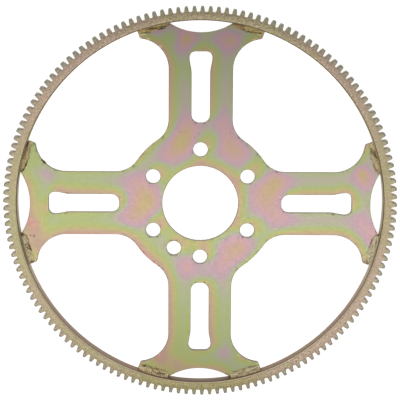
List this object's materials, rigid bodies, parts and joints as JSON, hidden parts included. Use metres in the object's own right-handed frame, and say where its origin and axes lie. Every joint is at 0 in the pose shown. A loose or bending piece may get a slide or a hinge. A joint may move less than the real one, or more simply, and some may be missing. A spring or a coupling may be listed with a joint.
{
  "type": "flexplate",
  "caption": "Lightweight flexplate: a flat steel plate with slotted arms, a pilot bore and crank bolt holes, welded inside a toothed starter ring gear.",
  "frame": {"origin": "center of the pilot bore on the back face, where the part lies", "axes": "+Z along the rotation axis, out of the front face; +X and +Y along two arms"},
  "size_m": [0.328, 0.328, 0.0127],
  "materials": {
    "plate_steel": "yellow zinc plating, iridescent, satin",
    "ring_steel": "yellow zinc plating, tan, satin",
    "weld_metal": "plated weld metal, rough"
  },
  "bodies": {
    "root": {"center_plate": "plate_steel", "ring_gear": "ring_steel", "weld_bead_1": "weld_metal", "weld_bead_2": "weld_metal", "weld_bead_3": "weld_metal", "weld_bead_4": "weld_metal", "weld_bead_5": "weld_metal", "weld_bead_6": "weld_metal", "weld_bead_7": "weld_metal", "weld_bead_8": "weld_metal"}
  },
  "joints": []
}
